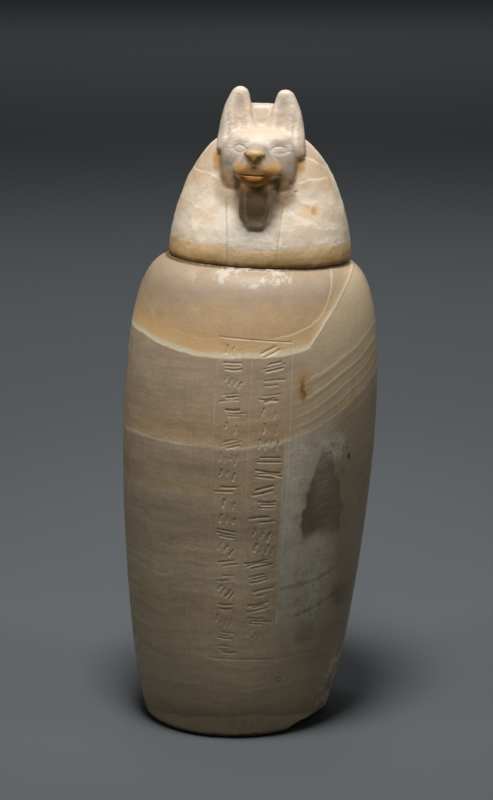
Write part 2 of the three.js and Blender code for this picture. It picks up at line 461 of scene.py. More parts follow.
def loft(name, rings, sides, place):
    """Rolls a grid into a closed form. place(share, across, up) gives the points of a ring; across and up
    go round a circle, and shrink to 0 at the middle of either end."""
    bpy.ops.mesh.primitive_grid_add(x_subdivisions=sides, y_subdivisions=rings + 2, size=2)
    form = name_new(name)
    flat = points_of(form)
    angle = (flat[:, 0] + 1) * math.pi
    row = np.round((flat[:, 1] + 1) / 2 * (rings + 2))
    reach = np.where((row == 0) | (row == rings + 2), 0, 1)
    share = np.clip((row - 1) / rings, 0, 1)
    move_points(form, np.column_stack(place(share, reach * np.cos(angle), reach * np.sin(angle))))
    clean_shell(form)
    return form


def wig_front(heights):
    """How much of the wig's front is cut back, from 0 at the rim to a quarter over the chest."""
    return 0.25 * smoothstep(heights, 0, 46 * MM)


def wig_radius(sizes, heights):
    tuck = 1 - 0.006 * (1 - smoothstep(heights, 0, 7 * MM))
    return sizes.radius * dome(heights / sizes.height, 1.6, 2.5) * tuck


def make_wig(sizes):
    def place(share, across, up):
        height = sizes.height * np.sin(share * math.pi / 2)
        radius = wig_radius(sizes, height)
        cut = 1 - wig_front(height) * smoothstep(-up, 0, 1)
        return radius * across, radius * up * cut, height

    return loft("wig", 60, 120, place)


def make_plug(sizes, mouth_radius):
    overlap = 5 * MM
    bpy.ops.mesh.primitive_cylinder_add(
        vertices=96,
        radius=mouth_radius - 4.2 * MM,
        depth=sizes.plug_depth + overlap,
        location=(0, 0, (overlap - sizes.plug_depth) / 2),
    )
    return name_new("plug")


def make_skull():
    """The back of the head, the cheeks and the brow."""
    # how far forward; half width; top; bottom
    stations = [
        (-24, 12, 74, 50),
        (-12, 20, 80, 40),
        (4, 23, 81, 35),
        (16, 23.6, 80.8, 34),
        (22, 23.6, 80.2, 34),
        (27, 23.2, 78.6, 34.5),
        (31, 22, 75.8, 37),
        (34, 19, 71, 41),
        (36.5, 12, 65, 48),
    ]

    def place(share, across, up):
        forward, (half_width, top, bottom) = flow_along(share, stations)
        across, up = shaped(across, 0.68), shaped(up, 0.68)
        return half_width * across * MM, -forward * MM, lerp(bottom, top, (1 + up) / 2) * MM

    return loft("skull", 44, 72, place)


def make_crown():
    """The top of the head between the ears, level in front and sloping down to the wig behind."""

    def place(share, across, up):
        height, half_width = lerp(66, 93.4, share), lerp(21, 11.5, share)
        half_depth = np.where(up > 0, lerp(36, 7, share**1.4), lerp(18, 10.5, share))
        across, up = shaped(across, 0.6), shaped(up, 0.6)
        return half_width * across * MM, (half_depth * up + share) * MM, height * MM

    return loft("crown", 20, 64, place)


def make_muzzle():
    """The muzzle, narrow along the bridge of the nose and wide along the mouth."""
    # how far forward; half width of the bridge; half width along the mouth; top; bottom
    stations = [
        (20, 8.6, 17.5, 75, 44),
        (28, 8.2, 16.4, 74.5, 45),
        (34, 8, 15.2, 73.6, 46),
        (40, 7.8, 14, 72.8, 47),
        (46, 7.5, 12.8, 72, 47.8),
        (52, 7, 11.4, 71, 48.4),
        (55.5, 6.6, 9.6, 70.2, 49.2),
        (58, 4.8, 7, 68.6, 51.2),
    ]

    def place(share, across, up):
        forward, (bridge, mouth, top, bottom) = flow_along(share, stations)
        across, up = shaped(across, 0.8), shaped(up, 0.8)
        half_width = lerp(mouth, bridge, smoothstep(up, -0.35, 0.6))
        chin = 1 - 0.3 * smoothstep(-up, 0.5, 1)
        return half_width * across * chin * MM, -forward * MM, lerp(bottom, top, (1 + up) / 2) * MM

    return loft("muzzle", 44, 64, place)


def make_nose():
    """The pad of the nose, wide at the nostrils and pointed below."""
    # height; half width
    stations = [(61.4, 0.5), (63.2, 1.5), (65, 3.4), (66.4, 5.2)]
    stations += [(67.6, 6.3), (69, 6.2), (70.2, 4.8), (70.9, 2)]

    def place(share, across, back):
        height, (half_width,) = flow_along(share, stations)
        front = lerp(59.6, 60.8, share) - 1.6 * smoothstep(height, 68, 71)
        across, back = shaped(across, 0.75), shaped(back, 0.6)
        forward = lerp(front, 52, (1 + back) / 2) - 1.4 * across**2
        return half_width * across * MM, -forward * MM, height * MM

    return loft("nose", 24, 40, place)


def make_ear(side):
    """An ear: a leaf whose foot spreads over the brow, with a hollow and an outer groove down its front."""
    # height; inner edge; outer edge; how far forward its middle is; half its thickness
    stations = [
        (65.6, 13, 25, 20, 5.2),
        (67, 10, 26.3, 19.5, 6.8),
        (70, 7, 26.5, 18.5, 7.2),
        (75.6, 3, 26.2, 16.5, 7),
        (80, 2.2, 25.7, 14.5, 6.6),
        (82.8, 3.6, 25.2, 13.4, 6.3),
        (86.3, 5.2, 24.5, 12.3, 6),
        (91.5, 6.1, 23.2, 11, 5.5),
        (96, 7.1, 21.6, 10, 5),
        (100, 8.2, 19.6, 9.3, 4.5),
        (103, 9.8, 17.6, 9, 3.8),
        (104.1, 11.4, 15.8, 9, 2.8),
        (104.6, 12.6, 14.6, 9, 1.6),
    ]
    lower, wider, longer = (0, 1, 0) if side < 0 else (1.2 / 104, 1.04, 2.2)

    def place(share, across, back):
        height, (inner, outer, middle, thickness) = flow_along(np.sin(share * math.pi / 2), stations)
        x = lerp(inner, outer, (1 + shaped(across, 0.85)) / 2)
        hollow = 0.5 * bump(x - 12.8, 5.8) * smoothstep(height, 75, 81) * (1 - smoothstep(height, 88, 102))
        hollow += 0.3 * bump(x - 19.8, 2) * smoothstep(height, 66, 73) * (1 - smoothstep(height, 82, 92))
        hollow += 0.3 * smoothstep(x, 20, 27) + 0.12 * bump(x - 21, 2.4) * smoothstep(height, 84, 92)
        fill = shaped(back, 0.62) * np.where(back < 0, 1 - hollow, 1)
        height = height * (1 - lower) - longer * (1 - smoothstep(height, 65, 78))
        return side * x * wider * MM, (thickness * fill - middle) * MM, height * MM

    return loft("ear", 60, 84, place)


def make_ear_root(side):
    """What the ear stands on: a narrow fold that runs down the head behind its lobe."""
    # height; inner edge; outer edge; how far forward its front is
    stations = [
        (52, 19, 21.5, 12),
        (55, 18, 23.4, 14),
        (60, 17, 25.2, 16),
        (66, 16, 26, 17),
        (72, 16, 26, 17),
    ]

    def place(share, across, back):
        height, (inner, outer, front) = flow_along(share, stations)
        x = lerp(inner, outer, (1 + shaped(across, 0.8)) / 2)
        return side * x * MM, (10 * (1 + shaped(back, 0.7)) / 2 - front) * MM, height * MM

    return loft("ear_root", 16, 32, place)


def make_throat(sizes):
    """A pillar with bevelled sides that stands proud of the chest, with a round lower end."""
    bottom, top, half_width, relief = 23 * MM, 56 * MM, 10.4 * MM, 5.6 * MM

    def place(share, across, up):
        height = lerp(bottom, top, 1 - np.cos(share * math.pi / 2))
        chest = -wig_radius(sizes, height) * (1 - wig_front(height))
        end = np.sqrt(1 - (1 - np.clip((height - bottom) / half_width, 0, 1)) ** 2)
        across = shaped(across, 0.6)
        bevel = np.clip((1 - np.abs(across)) / 0.32, 0, 1) * lerp(0.4, 1, end)
        front = np.where(up > 0, bevel, shaped(up, 0.5))
        front = np.where(np.abs(up) + np.abs(across) == 0, 0.5, front)
        return half_width * lerp(0.35, 1, end) * across + 0.3 * MM, chest - relief * front, height

    return loft("throat", 28, 96, place)


def fuse(name, forms, grain):
    """Makes one closed skin of overlapping forms, and softens where they meet."""
    deselect_all()
    for form in forms:
        form.select_set(True)
    bpy.context.view_layer.objects.active = forms[0]
    bpy.ops.object.join()
    piece = name_new(name)
    finish_modifier(piece, "REMESH", mode="VOXEL", voxel_size=grain)
    finish_modifier(piece, "SMOOTH", factor=0.5, iterations=2)
    return piece


class Carver:
    """A carver's hand on the front of a dense mesh. Places are across and up, in millimetres."""

    def __init__(self, piece, farthest):
        self.piece = piece
        self.points, self.normals = points_of(piece), normals_of(piece)
        self.facing = smoothstep(-self.normals[:, 1], 0.05, 0.35) * (self.points[:, 1] < farthest)
        self.seen = self.points[:, [0, 2]].copy()
        self.change = np.zeros(len(self.points))
        self.carved = np.zeros(len(self.points))

    def groove(self, path, width, depth):
        path = np.array(path) * MM
        width = width * MM
        close = np.all((self.seen > path.min(0) - width) & (self.seen < path.max(0) + width), axis=1)
        cut = bump(distance_to_path(self.seen[close], path), width)
        self.change[close] -= depth * MM * cut
        self.carved[close] = np.maximum(self.carved[close], cut)

    def swell(self, centre, reach, height):
        away = (self.seen - np.array(centre) * MM) / (np.array(reach) * MM)
        self.change += height * MM * bump(np.linalg.norm(away, axis=1), 1)

    def finish(self):
        move_points(self.piece, self.points + self.normals * (self.change * self.facing)[:, None])
        return self.carved * self.facing


def carve_eye(hand, side, outer, top, inner, foot):
    """An eye between its two corners: a hollow, the ball, both lids, the outer line and the brow over it."""
    middle = lerp(np.array(top), np.array(foot), 0.5)
    half_width = abs(outer[0] - inner[0]) / 2
    upper = arc(middle, (half_width * 0.93, 2.4), 150, 30)
    lower = arc(middle, (half_width * 0.8, 2.2), 215, 325)
    hand.swell(middle + (0, 0.5), (half_width + 3, 4.6), -0.7)
    hand.swell(middle, (half_width * 0.9, 2.5), 0.4)
    hand.groove([outer, *upper[::-side], inner], 0.6, 0.3)
    hand.groove([outer, *lower[::-side], inner], 0.55, 0.12)
    hand.groove([outer, (outer[0] + 3.4 * side, outer[1] - 0.2)], 0.6, 0.15)
    hand.swell(middle + (0, 6.2), (half_width + 5, 3.6), 0.9)


def carve_face(lid):
    """Sharpens the face: brows, eyes, nose, lips and cheeks."""
    x, y, z = face_centres(lid).T / MM
    refine_faces(lid, (y < -4) & (np.abs(x) < 28) & (z > 42))
    x, y, z = face_centres(lid).T / MM
    refine_faces(lid, (y < -28) & (np.abs(x) < 20) & (np.abs(z - 64) < 11))
    hand = Carver(lid, farthest=-20 * MM)
    carve_eye(hand, -1, outer=(-15.1, 68.9), top=(-11.2, 71.3), inner=(-6.8, 69.1), foot=(-11.1, 66.5))
    carve_eye(hand, 1, outer=(18.7, 68.2), top=(13.1, 71.1), inner=(8, 67.7), foot=(13.2, 66.6))
    hand.groove([(-6.4, 68.2), (-4.9, 66.4), (-2.6, 65), (0.5, 61.8)], 0.75, 0.3)
    hand.groove([(6.7, 68), (5.2, 66.2), (3.3, 64.8), (0.5, 61.8)], 0.75, 0.3)
    hand.groove([(-6.6, 68.4), (-3.8, 70.8), (0.4, 71.5), (4.2, 70.9), (6.9, 68.4)], 1.1, 0.6)
    mouth = [(-13, 55.2), (-9, 55.4), (-4, 55.3), (1, 55.2), (7, 55.2), (11.5, 54.9), (14.3, 53.6)]
    hand.groove(mouth, 0.7, 0.5)
    hand.swell((0.6, 52.6), (12, 2.6), 0.4)
    for side in (-1, 1):
        hand.swell((6.5 * side + 0.6, 59.2), (7, 5), 0.45)
        hand.swell((17 * side, 41), (12, 10), 1.8)
    return hand.finish()


def carve_wig(lid):
    """Cuts the edges of the wig's two front lappets and the line above its hem."""
    hand = Carver(lid, farthest=-12 * MM)
    left, right = -15.6, 14.6
    hand.groove([(left, -2), (left - 0.8, 14), (left - 2.8, 36)], 1.3, 0.35)
    hand.groove([(right, -2), (right + 0.3, 14), (right + 1, 30), (right + 2.8, 40)], 1.3, 0.35)
    hand.groove([(-52, 13.5), (-30, 12.6), (left, 12.2)], 0.7, 0.14)
    hand.groove([(left, 11.2), (0, 10.6), (right, 10.6)], 0.7, 0.14)
    hand.groove([(right, 10.8), (32, 12), (52, 14)], 0.7, 0.14)
    return hand.finish()


def pit_surface(piece, count, low, high, seed, depth):
    """Small round pits, scattered over the points that lie between two heights."""
    chance = np.random.default_rng(seed)
    points, normals = points_of(piece), normals_of(piece)
    candidates = np.flatnonzero((points[:, 2] > low) & (points[:, 2] < high))
    carved = np.zeros(len(points))
    for centre in points[chance.choice(candidates, count)]:
        size = chance.uniform(0.8, 1.5) * MM
        pit = bump(np.linalg.norm(points - centre, axis=1), size)
        points -= normals * (depth * size * pit)[:, None]
        carved = np.maximum(carved, pit)
    move_points(piece, points)
    return carved


def lid_seat(jar_sizes):
    """Where the middle of the lid's hem lies, a little to the right of the rim's middle."""
    shift, gap = 1.6 * MM, 0.4 * MM
    drop = shift * math.tan(jar_sizes.rim_slope)
    return Vector((jar_sizes.height * math.tan(jar_sizes.lean) + shift, 0, jar_sizes.height + gap - drop))


def place_lid(lid, jar_sizes, sizes):
    """Leans the carving, turns it, and sets it on the jar's sloping rim."""
    points = points_of(lid)
    points[:, 0] += np.maximum(0, points[:, 2]) * math.tan(sizes.lean - jar_sizes.rim_slope)
    move_points(lid, points)
    turn = Matrix.Rotation(jar_sizes.rim_slope, 4, "Y") @ Matrix.Rotation(sizes.turn, 4, "Z")
    lid.data.transform(Matrix.Translation(lid_seat(jar_sizes)) @ turn)


class CANOPIC_OT_lid(bpy.types.Operator):
    """Fuse the lid from its forms, carve it and set it on the jar"""

    bl_idname = "canopic.lid"
    bl_label = "Lid"

    def execute(self, context):
        sizes, jar_sizes = context.scene.canopic_lid, context.scene.canopic_jar
        forms = [make_wig(sizes), make_plug(sizes, jar_sizes.mouth_radius), make_throat(sizes)]
        forms += [make_skull(), make_crown(), make_muzzle(), make_nose()]
        forms += [make(side) for make in (make_ear, make_ear_root) for side in (-1, 1)]
        lid = fuse("travertine_lid", forms, grain=1.25 * MM)
        dent(lid, "hand_cut", size=0.015, strength=1.2 * MM)
        carved = [carve_face(lid), carve_wig(lid), pit_surface(lid, 60, 8 * MM, 50 * MM, seed=3, depth=0.35)]
        mark_points(lid, "carved", np.maximum.reduce(carved))
        place_lid(lid, jar_sizes, sizes)
        stone = lid_stone(sizes, jar_sizes.rim_slope, lid_seat(jar_sizes))
        settle(lid, "lid", stone)
        return {"FINISHED"}


# -------------------------------------------------------------------------------------------- the stone


class Wire:
    """A socket in a stone's node tree. Arithmetic on it adds Math nodes."""

    def __init__(self, stone, socket):
        self.stone, self.socket = stone, socket

    def __add__(self, other):
        return self.stone.maths("ADD", self, other)

    def __sub__(self, other):
        return self.stone.maths("SUBTRACT", self, other)

    def __mul__(self, other):
        return self.stone.maths("MULTIPLY", self, other)

    def __truediv__(self, other):
        return self.stone.maths("DIVIDE", self, other)

    def __pow__(self, other):
        return self.stone.maths("POWER", self, other)

    def __rsub__(self, other):
        return self.stone.maths("SUBTRACT", other, self)

    def __rtruediv__(self, other):
        return self.stone.maths("DIVIDE", other, self)

    def __abs__(self):
        return self.stone.maths("ABSOLUTE", self)

    __radd__, __rmul__ = __add__, __mul__


def step(wire, low, high):
    """0 where the wire is at the low value, rising smoothly to 1 at the high one, which may lie below it."""
    ends = {"Value": wire, "From Min": low, "From Max": high}
    return wire.stone.node("ShaderNodeMapRange", {"interpolation_type": "SMOOTHSTEP"}, ends)


def above(wire, limit=0):
    """The wire's value, but never less than the limit."""
    return wire.stone.maths("MAXIMUM", wire, limit)


def line(wire, width):
    """1 where the wire is 0, falling to 0 at the width."""
    return step(abs(wire), width, 0)


def oval(x, z, centre, reach, soft=0.4):
    """0 at the edge of an oval, rising to 1 further in. The lower soft is, the softer the edge."""
    away = ((x - centre[0]) / reach[0]) ** 2 + ((z - centre[1]) / reach[1]) ** 2
    return step(away, 1, soft)


class Stone:
    """A stone, painted in layers over a piece's own coordinates, in millimetres from its seat."""

    def __init__(self, name, cloud_size, grain_size, seat=(0, 0, 0), turn=(0, 0, 0)):
        self.material = bpy.data.materials.new(name)
        self.material.use_nodes = True
        self.tree = self.material.node_tree
        self.shader = self.tree.nodes["Principled BSDF"]
        own_place = self.node("ShaderNodeTexCoord", output="Object")
        inputs = {"Vector": own_place, "Location": seat, "Rotation": turn, "Scale": (MM, MM, MM)}
        self.place = self.node("ShaderNodeMapping", {"vector_type": "TEXTURE"}, inputs)
        self.x, self.y, self.z = [
            self.node("ShaderNodeSeparateXYZ", {}, {"Vector": self.place}, output=axis) for axis in "XYZ"
        ]
        self.cloud = self.noise(self.place, cloud_size, detail=4)
        self.blots = self.noise(self.place, 9, detail=4, roughness=0.6)
        self.grain = self.noise(self.place, grain_size, detail=5, roughness=0.7)

    def node(self, kind, settings=None, inputs=None, output=0):
        """Adds a node: its settings first, then its inputs, which are values or wires."""
        node = self.tree.nodes.new(kind)
        for setting, value in (settings or {}).items():
            if setting == "stops":
                elements = node.color_ramp.elements
                while len(elements) < len(value):
                    elements.new(1)
                for element, (position, colour) in zip(elements, value):
                    element.position, element.color = position, (*colour, 1)
            else:
                setattr(node, setting, value)
        for name, value in (inputs or {}).items():
            if isinstance(value, Wire):
                self.tree.links.new(value.socket, node.inputs[name])
            else:
                node.inputs[name].default_value = value
        return Wire(self, node.outputs[output])

    def maths(self, operation, *values):
        return self.node("ShaderNodeMath", {"operation": operation}, dict(enumerate(values)))

    def attribute(self, name):
        """What mark_points stored under this name."""
        return self.node("ShaderNodeAttribute", {"attribute_name": name}, output="Fac")

    def spread(self, x, y, z):
        return self.node("ShaderNodeCombineXYZ", {}, {"X": x, "Y": y, "Z": z})

    def noise(self, place, size, detail, roughness=0.5):
        """Cloudy values round 0, mostly between -0.3 and 0.3."""
        inputs = {"Vector": place, "Scale": 1 / size, "Detail": detail, "Roughness": roughness}
        return self.node("ShaderNodeTexNoise", {}, inputs) - 0.5

    def layers(self, height, reach, thickness, detail, roughness=0.5):
        """Noise drawn out into level layers of this reach and thickness."""
        place = self.spread(self.x / reach, self.y / reach, height / thickness)
        return self.noise(place, 1, detail, roughness)

    def specks(self, place, size, radius):
        """Small round spots, one in each cell of the size."""
        distance = self.node("ShaderNodeTexVoronoi", {}, {"Vector": place, "Scale": 1 / size})
        return step(distance, radius / size, 0)

    def patch(self, centre, reach, soft=0, blots=(4, 4), clouds=(0, 0), tilt=0):
        """An oval patch on the front, whose edge wavers with the blots and clouds by these millimetres."""
        x = self.x + self.blots * blots[0] + self.cloud * clouds[0] + (self.z - centre[1]) * tilt
        z = self.z + self.blots * blots[1] + self.cloud * clouds[1]
        return oval(x, z, centre, reach, soft) * self.front

    def mix(self, blend, share, colour):
        """Mixes a colour into the stone's. Sockets go by number: the node has others of the same names."""
        factor, first, second, result = 0, 6, 7, 2
        inputs = {factor: share, first: self.colour, second: colour}
        settings = {"data_type": "RGBA", "blend_type": blend}
        self.colour = self.node("ShaderNodeMix", settings, inputs, output=result)

    def paint(self, mask, colour):
        """Lays a colour over the stone where the mask is 1."""
        self.mix("MIX", mask, (*colour, 1))

    def shade(self, amount):
        """Multiplies the stone's colour by a value."""
        channels = {"Red": amount, "Green": amount, "Blue": amount}
        self.mix("MULTIPLY", 1, self.node("ShaderNodeCombineColor", {}, channels))

    def finish(self, roughness, relief, depth):
        """Joins the layers to the shader. The relief is a height from about 0 to 1, depth its scale."""
        normal = self.node("ShaderNodeBump", {}, {"Strength": 1, "Distance": depth, "Height": relief})
        for name, wire in {"Base Color": self.colour, "Roughness": roughness, "Normal": normal}.items():
            self.tree.links.new(wire.socket, self.shader.inputs[name])
        self.shader.inputs["Subsurface Weight"].default_value = 0.12
        self.shader.inputs["Subsurface Radius"].default_value = (1, 0.6, 0.35)
        self.shader.inputs["Subsurface Scale"].default_value = 0.003
        return self.material


# ---------------------------------------------------------------------------------- the jar's travertine


def lay_beds(stone, broad):
    """Colours the stone by its beds, and returns how high each place would lie if its bed were level."""
    right = above(stone.x)
    ends = {"Value": stone.z, "From Min": 60, "From Max": 235, "To Min": 0.0012, "To Max": 0.0048}
    sweep = stone.node("ShaderNodeMapRange", {}, ends)
    bed = stone.z - right * right * sweep + broad * step(stone.y, -50, 60) * 55 + stone.cloud * 5
    # height; tone
    beds = [
        (0, (0.42, 0.3, 0.165)), (14, (0.44, 0.32, 0.18)), (20, (0.47, 0.345, 0.205)),
        (44, (0.55, 0.41, 0.255)), (70, (0.59, 0.44, 0.265)), (92, (0.56, 0.405, 0.24)),
        (106, (0.63, 0.48, 0.305)), (134, (0.56, 0.42, 0.265)), (150, (0.53, 0.4, 0.245)),
        (161, (0.63, 0.49, 0.325)), (164, (0.59, 0.43, 0.245)), (186, (0.5, 0.37, 0.24)),
        (190.8, (0.52, 0.39, 0.255)), (192.2, (0.78, 0.62, 0.43)), (193.6, (0.64, 0.455, 0.265)),
        (198, (0.58, 0.4, 0.23)), (214, (0.52, 0.37, 0.235)), (240, (0.5, 0.37, 0.25)),
        (300, (0.48, 0.36, 0.24)),
    ]
    top = beds[-1][0]
    stops = [(height / top, tone) for height, tone in beds]
    stone.colour = stone.node("ShaderNodeValToRGB", {"stops": stops}, {0: bed / top})
    return bed


def streak_beds(stone, bed):
    """Draws thin streaks and broader stripes along the beds, wavier towards the foot."""
    faded = step(stone.blots + stone.cloud, -0.3, 0.2)
    wave = bed + stone.layers(stone.z, 30, 120, detail=2) * 15 * step(stone.z, 150, 105)
    streaks = stone.layers(wave, 30, 3.6, detail=4, roughness=0.62)
    stripes = stone.layers(wave, 60, 12, detail=3, roughness=0.55)
    stone.shade(1 + streaks * 0.65 + stripes * 0.5 + stone.blots * 0.35 + stone.grain * 0.3)
    stone.paint(step(stripes + stone.cloud * 0.4, 0.08, 0.3) * 0.4, (0.66, 0.455, 0.26))
    # height; strength
    bright_lines = [(36, 0.3), (52, 0.25), (86, 0.35), (98, 0.45)]
    bright_lines += [(109, 0.6), (115, 0.4), (127, 0.35), (143, 0.25)]
    for height, strength in bright_lines:
        stone.paint(line(wave - height, 1.5) * faded * strength, (0.76, 0.62, 0.44))
        stone.paint(line(wave - height + 3.5, 3) * faded * strength * 0.6, (0.36, 0.26, 0.16))
    return streaks, stripes


def paint_bowl(stone, broad, stripes):
    """A bowl of honey stone over the shoulders, with a paler heart and a bright edge, and painted shade under
    the lid at the rim.
    """
    x, z, cloud, blots = stone.x, stone.z, stone.cloud, stone.blots
    left = stone.maths("MINIMUM", x + 5, 0)
    edge = 246 + (x + 5) ** 2 * 0.0018 + left**2 * 0.0012 + above(x - 45) * 1.25
    inside = z - edge + cloud * 4 + broad * step(stone.y, -40, 50) * 60
    heart = abs(x / 58) ** 3 + abs((300 - z) / 43) ** 3 + cloud * 0.3 + blots * 0.1
    heart_edge = line(heart - 1.05, 0.05)
    bowl = step(inside, -0.5, 1.5)
    stone.paint(step(inside, -16, 0) * 0.3, (0.46, 0.31, 0.205))
    stone.paint(bowl, (0.55, 0.365, 0.2))
    stone.paint(bowl * step(heart, 1.08, 0.94) * 0.9, (0.53, 0.35, 0.195))
    stone.paint(bowl * step(z + cloud * 20, 268, 288) * 0.5, (0.54, 0.43, 0.32))
    stone.shade(1 + bowl * (blots * 0.35 + stripes * 0.2 + stone.grain * 0.2))
    stone.paint(bowl * step(inside, 20, 3) * step(x + cloud * 30, 25, -25) * 0.85, (0.68, 0.4, 0.16))
    stone.paint(bowl * heart_edge * step(x, 5, 40) * 0.7, (0.84, 0.67, 0.46))
    stone.paint(bowl * heart_edge * step(blots, -0.2, 0.1) * 0.35, (0.76, 0.58, 0.38))
    stone.paint(bowl * step(inside, 14, 1) * 0.6, (0.86, 0.6, 0.3))
    stone.paint(step(inside, -1.2, 0.2) * step(inside, 4.5, 0.6) * 0.95, (0.92, 0.78, 0.55))
    # painted shade under the lid: darker towards the rim, a little lighter lower down
    stone.shade(step(z + cloud * 6 + abs(x) * 0.05, 286, 266) * 0.42 + 0.68)
    return inside, bowl


def paint_shoulder(stone, bed, streaks, inside):
    """Sweeping lines on the right shoulder, with honey between them."""
    shoulder = step(stone.x + stone.cloud * 10, 30, 50) * stone.front * step(inside, 0, -3)
    honey = shoulder * step(bed + stone.cloud * 10, 193, 203)
    stone.paint(honey * 0.75, (0.66, 0.51, 0.32))
    stone.paint(honey * step(streaks, 0, 0.2) * 0.5, (0.5, 0.37, 0.21))
    # height; width; strength
    lines = [(222, 1.6, 0.8), (213, 1.2, 1), (205, 1, 0.7), (199, 1, 0.7), (186, 1.2, 0.6), (178, 1, 0.4)]
    for height, width, strength in lines:
        drawn, shadow = line(bed - height, width), line(bed - height + width * 2, width * 1.6)
        stone.paint(drawn * shoulder * strength, (0.84, 0.68, 0.44))
        stone.paint(shadow * shoulder * strength * 0.5, (0.38, 0.275, 0.155))


def paint_vein(stone, bed):
    """A pale grey, cloudy vein down the right of the front, and olive stone beyond it."""
    x, z, front, cloud, blots, grain = stone.x, stone.z, stone.front, stone.cloud, stone.blots, stone.grain
    left_edge = x - (19.5 + z * 0.053) + cloud * 5 + blots * 5
    vein = step(left_edge, -1.5, 2.5) * step(x + cloud * 18 + blots * 10, 66, 50) * front
    vein *= step(z + cloud * 24 + blots * 16, 62, 84)
    vein *= step(z + cloud * 26 + blots * 12 - x * 0.35, 194, 172)
    stone.paint(vein * 0.85, (0.74, 0.64, 0.48))
    stone.paint(vein * step(blots + grain * 0.8, -0.02, 0.16) * 0.6, (0.41, 0.34, 0.24))
    stone.paint(vein * oval(x, z, (32, 150), (10, 62), 0) * 0.5, (0.84, 0.74, 0.56))
    stone.paint(vein * step(cloud * 0.7 - blots - grain * 0.8, 0.02, 0.2) * 0.6, (0.8, 0.73, 0.6))
    olive = step(x + cloud * 14, 52, 66) * front * step(z, 44, 74) * step(bed + cloud * 10, 200, 180)
    stone.paint(olive * 0.55, (0.38, 0.3, 0.185))


def paint_flame(stone):
    """A dark flame in the vein, ringed like wood, with frosted stone at its tip."""
    x, z, front, cloud, blots = stone.x, stone.z, stone.front, stone.cloud, stone.blots
    off_middle = x - 46 - z * 0.055 + cloud * 8 + blots * 3
    off_flame = ((off_middle + blots * 5 + cloud * 9) / 11.5) ** 2 + ((z - 137) / 56) ** 2
    foot = step(z + x * 0.12 + cloud * 10 + blots * 12, 136, 147)
    flame = step(off_flame, 1.3, 0.75) * foot * front * step(z + blots * 26, 200, 176)
    wood = stone.layers(z - x * 0.3, 14, 1.6, detail=3)
    stone.paint(flame * (0.75 + wood * 1.2), (0.24, 0.19, 0.12))
    stone.paint(flame * step(off_middle + (z - 140) * 0.25 + blots * 8, 5, -6) * 0.75, (0.13, 0.1, 0.06))
    stone.paint(flame * line(off_flame - 0.9, 0.2) * 0.4, (0.12, 0.09, 0.055))
    stone.paint(step(off_flame, 3, 1) * step(z, 128, 142) * front * 0.3, (0.33, 0.27, 0.18))
    frosted = stone.patch((61, 189), (12, 10), blots=(14, 0), clouds=(0, 14))
    stone.paint(frosted * step(blots + stone.grain * 1.2, -0.12, 0.1) * 0.5, (0.86, 0.8, 0.68))


def mark_jar(stone):
    """Single marks: a knot in its halo, stains, a crack, a healed fault, a pit and a small ring."""
    x, z, front, cloud, blots, grain = stone.x, stone.z, stone.front, stone.cloud, stone.blots, stone.grain
    stone.paint(stone.patch((41, 228), (6.5, 12)) * 0.7, (0.6, 0.34, 0.11))
    knot = stone.patch((41.1, 226), (2.4, 8), 0.1, blots=(9, 8), tilt=0.12)
    stone.paint(knot * step(grain, 0.25, -0.15) * 0.85, (0.17, 0.09, 0.04))
    stain = stone.patch((66, 89), (10, 9), blots=(8, 0), clouds=(0, 16))
    stone.paint(stain * 0.6, (0.27, 0.175, 0.1))
    speckled_stain = stone.patch((43.5, 69), (8, 10), blots=(12, 14), clouds=(16, 0))
    stone.paint(speckled_stain * step(grain, 0.3, -0.2) * 0.55, (0.22, 0.165, 0.11))
    crack = line(z - 82 - (x - 34) * 0.3 + cloud * 8 + blots * 4, 2.4) * step(blots, -0.2, 0.15)
    stone.paint(crack * oval(x, z, (46, 86), (24, 14)) * front * 0.75, (0.15, 0.115, 0.075))
    fault = z - 101 - (x - 29) * 0.2 + cloud * 8
    stone.paint(line(fault, 2.2) * oval(x, z, (46, 104), (22, 12)) * front * 0.5, (0.27, 0.225, 0.155))
    stone.paint(line(fault - 4, 2.2) * oval(x, z, (46, 108), (20, 12)) * front * 0.4, (0.7, 0.62, 0.49))
    stone.paint(stone.patch((70, 180), (1.2, 2.8), 0.4, blots=(3, 0)), (0.1, 0.07, 0.04))
    from_ring_middle = ((x - 26.8) ** 2 + (z - 40.5) ** 2) ** 0.5
    stone.paint(line(from_ring_middle - 1.5, 0.9) * front * 0.6, (0.17, 0.13, 0.09))


def paint_foot(stone):
    """Browner stone low on the right, partly painted shade, painted light in the middle of the front, a
    yellow bed at the foot, and a painted shadow round its bottom edge.
    """
    x, z, front, cloud, blots = stone.x, stone.z, stone.front, stone.cloud, stone.blots
    # browner stone low on the right, darkened towards the foot as painted shade
    low_right = step(x + cloud * 24, 26, 60) * step(z + blots * 16, 104, 66) * front
    stone.paint(low_right * 0.4, (0.27, 0.19, 0.12))
    # painted light in the middle of the lower front
    stone.shade(1 + oval(x, z, (-2, 74), (32, 66), 0) * front * 0.2)
    above_bed = z - 15.5 + x * x * 0.0022 - cloud * 9 - blots * 4
    mottled = step(blots + stone.grain * 0.8 + cloud, 0, 0.25)
    stone.paint(step(above_bed, 14, 0) * step(above_bed, -2, 0) * 0.5, (0.34, 0.25, 0.155))
    stone.paint(step(above_bed, 1, -1.5) * 0.75, (0.57, 0.4, 0.225))
    stone.paint(step(above_bed, 1, -2) * mottled * 0.45, (0.34, 0.235, 0.12))
    stone.paint(line(above_bed - 0.8, 1.2) * step(blots, -0.15, 0.15) * 0.6, (0.2, 0.15, 0.09))
    # painted shadow round the bottom edge, where the foot meets the floor
    stone.paint(step(z + blots * 4, 4.4, 1.6) * 0.92, (0.07, 0.05, 0.03))


